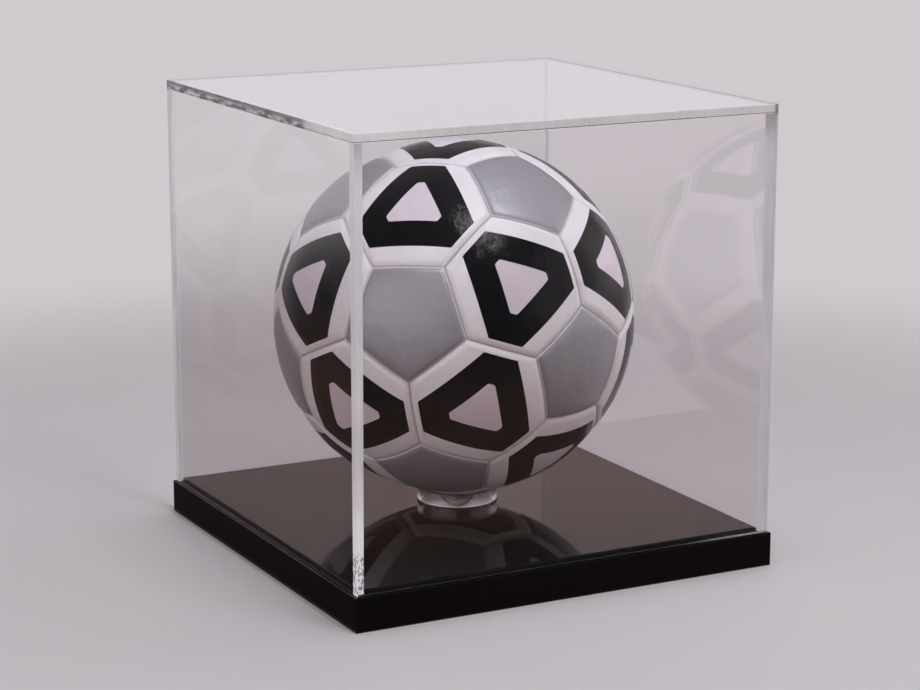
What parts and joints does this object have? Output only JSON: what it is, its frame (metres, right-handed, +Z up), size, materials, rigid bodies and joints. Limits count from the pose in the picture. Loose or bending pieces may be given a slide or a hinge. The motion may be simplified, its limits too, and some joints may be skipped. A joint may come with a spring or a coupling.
{
  "type": "football display case",
  "caption": "Square display case: a clear lift-off cover over a glossy black base with a raised plate, and a clear ring that carries a sewn football.",
  "frame": {"origin": "centre of the base's underside, where it meets the table", "axes": "+Z up, +Y towards the back of the case, +X along the front of the base, to the right"},
  "size_m": [0.277, 0.277, 0.2805],
  "materials": {
    "black_acrylic": "polished, mirror gloss",
    "clear_acrylic": "clear, polished",
    "white_leather": "satin, fine grain, with printed fields",
    "silver_leather": "satin silver print on fine grain",
    "bladder_rubber": "matte",
    "valve_rubber": "matte"
  },
  "bodies": {
    "base": {"base_deck": "black_acrylic", "base_bottom": "black_acrylic", "raised_plate": "black_acrylic", "skirt_front": "black_acrylic", "skirt_back": "black_acrylic", "skirt_left": "black_acrylic", "skirt_right": "black_acrylic"},
    "cover": {"cover_front": "clear_acrylic", "cover_back": "clear_acrylic", "cover_left": "clear_acrylic", "cover_right": "clear_acrylic", "cover_top": "clear_acrylic"},
    "ring": {"ring_stand": "clear_acrylic"},
    "ball": {"hexagon_panels": "white_leather", "pentagon_panels": "silver_leather", "bladder": "bladder_rubber", "valve": "valve_rubber"}
  },
  "joints": [
    {"name": "cover_lift", "type": "slide", "parent": "base", "child": "cover", "axis": [0, 0, 1], "range_m": [0, 0.25]},
    {"name": "ring_turn", "type": "hinge", "parent": "base", "child": "ring", "pos_m": [0.001, 0.01, 0.0235], "axis": [0, 0, 1], "continuous": true},
    {"name": "ball_lift", "type": "slide", "parent": "ring", "child": "ball", "axis": [0, 0, 1], "range_m": [0, 0.02]}
  ]
}
